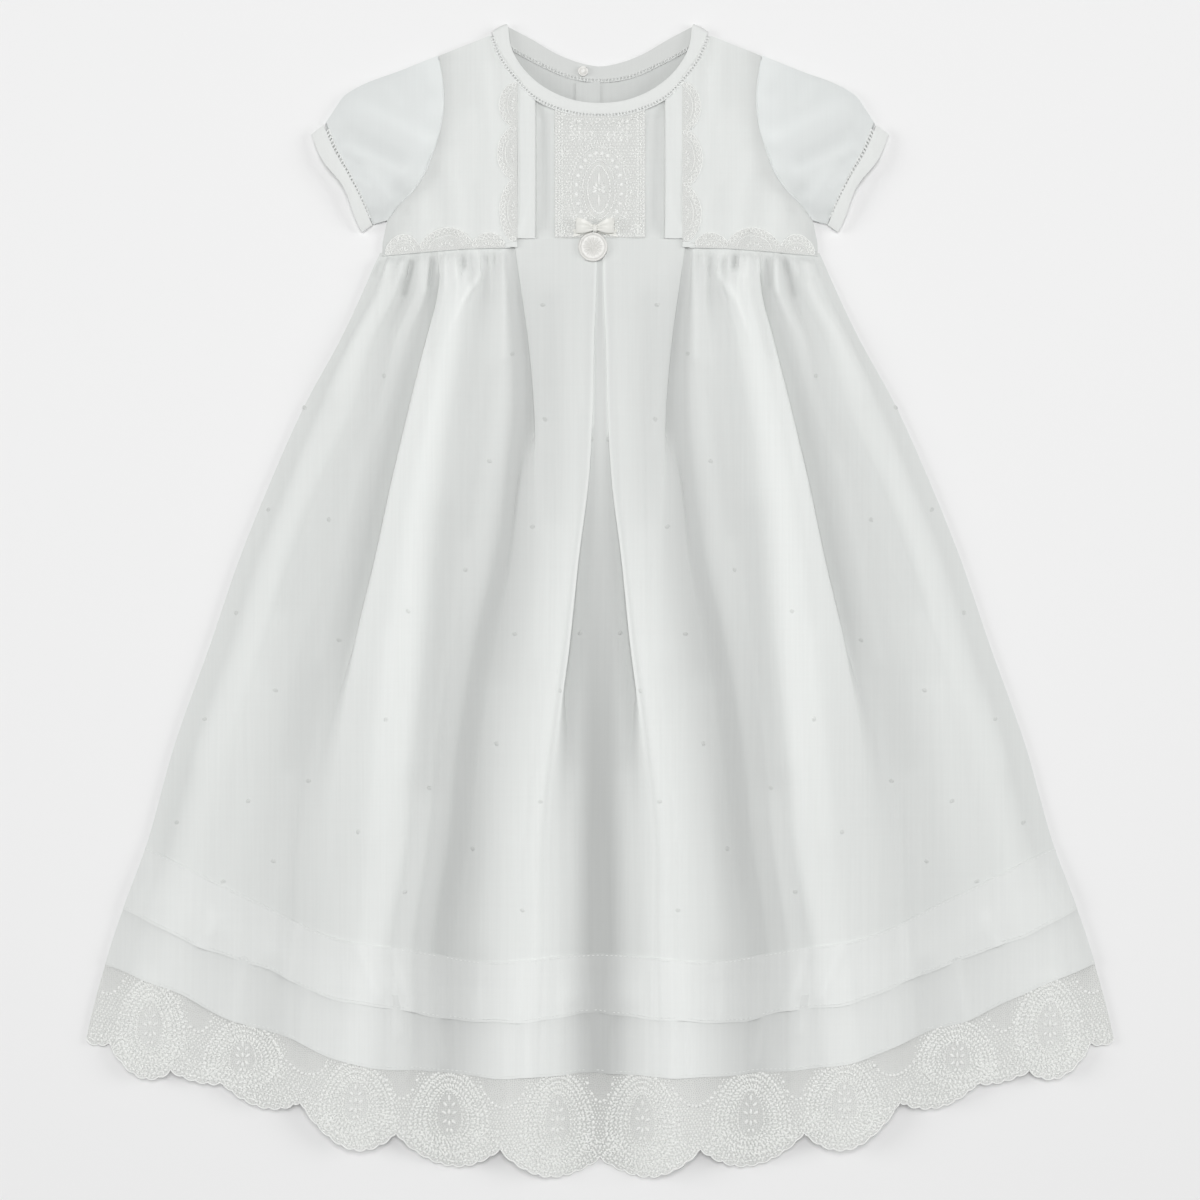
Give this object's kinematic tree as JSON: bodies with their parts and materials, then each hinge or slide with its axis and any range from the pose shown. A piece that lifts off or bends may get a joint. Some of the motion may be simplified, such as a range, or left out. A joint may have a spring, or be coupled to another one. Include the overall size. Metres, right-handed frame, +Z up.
{
  "type": "baby christening gown",
  "caption": "Long white baby gown laid flat, with short sleeves, lace bodice panel, gathered skirt with a centre pleat, tucks and scalloped lace hem.",
  "frame": {"origin": "bottom centre of the bounding box, on the surface that the gown lies on", "axes": "+Y from the hem to the neck, +X across the gown, +Z up from the surface, out of the front"},
  "size_m": [0.5802, 0.6501, 0.0208],
  "materials": {
    "dotted_voile": "fine white cotton voile with small woven dots",
    "sleeve_voile": "fine white cotton voile",
    "binding": "smooth folded white cotton",
    "embroidered_net": "sheer net with white thread embroidery",
    "satin_ribbon": "ivory satin",
    "pearl_shell": "pearly shell"
  },
  "bodies": {
    "root": {"skirt_front": "dotted_voile", "skirt_back": "dotted_voile", "tuck_upper_front": "dotted_voile", "tuck_lower_front": "dotted_voile", "hem_lace_front": "embroidered_net", "hem_lace_back": "embroidered_net", "bodice_front_left": "dotted_voile", "bodice_front_right": "dotted_voile", "bodice_front_centre": "dotted_voile", "bodice_back_left": "dotted_voile", "bodice_back_right": "dotted_voile", "back_placket": "dotted_voile", "back_button": "pearl_shell", "lace_panel": "embroidered_net", "edging_upright_left": "embroidered_net", "edging_upright_right": "embroidered_net", "edging_waist_left": "embroidered_net", "edging_waist_right": "embroidered_net", "neck_binding": "binding", "sleeve_left": "sleeve_voile", "sleeve_right": "sleeve_voile", "cuff_left": "binding", "cuff_right": "binding", "bow_loop_left": "satin_ribbon", "bow_loop_right": "satin_ribbon", "bow_knot": "satin_ribbon", "medal": "pearl_shell"}
  },
  "joints": []
}
